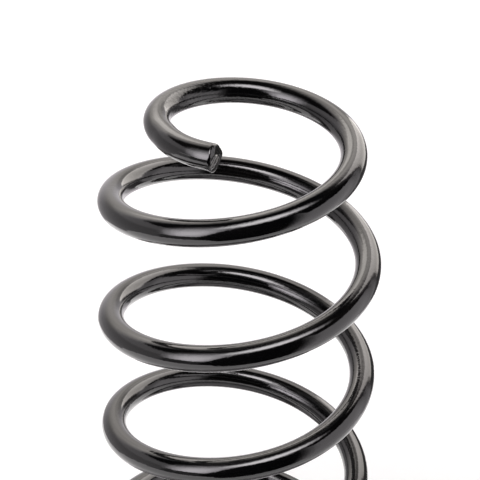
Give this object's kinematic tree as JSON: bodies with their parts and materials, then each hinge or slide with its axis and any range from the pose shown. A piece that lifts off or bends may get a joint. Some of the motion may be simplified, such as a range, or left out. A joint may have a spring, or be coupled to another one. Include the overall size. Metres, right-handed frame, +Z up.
{
  "type": "coil spring",
  "caption": "Open coiled compression spring of round gloss black wire, with a small pigtail coil at the top, a flat closed coil at the bottom and sheared ends.",
  "frame": {"origin": "on the coil axis, in the plane that the lower coil rests on", "axes": "+Z up the coil axis towards the pigtail end, -Y towards the front, where the picture was taken from, +X to its right"},
  "size_m": [0.132, 0.132, 0.312],
  "materials": {
    "black_paint": "gloss black baked paint over spring steel"
  },
  "bodies": {
    "root": {"coil_spring": "black_paint"}
  },
  "joints": []
}
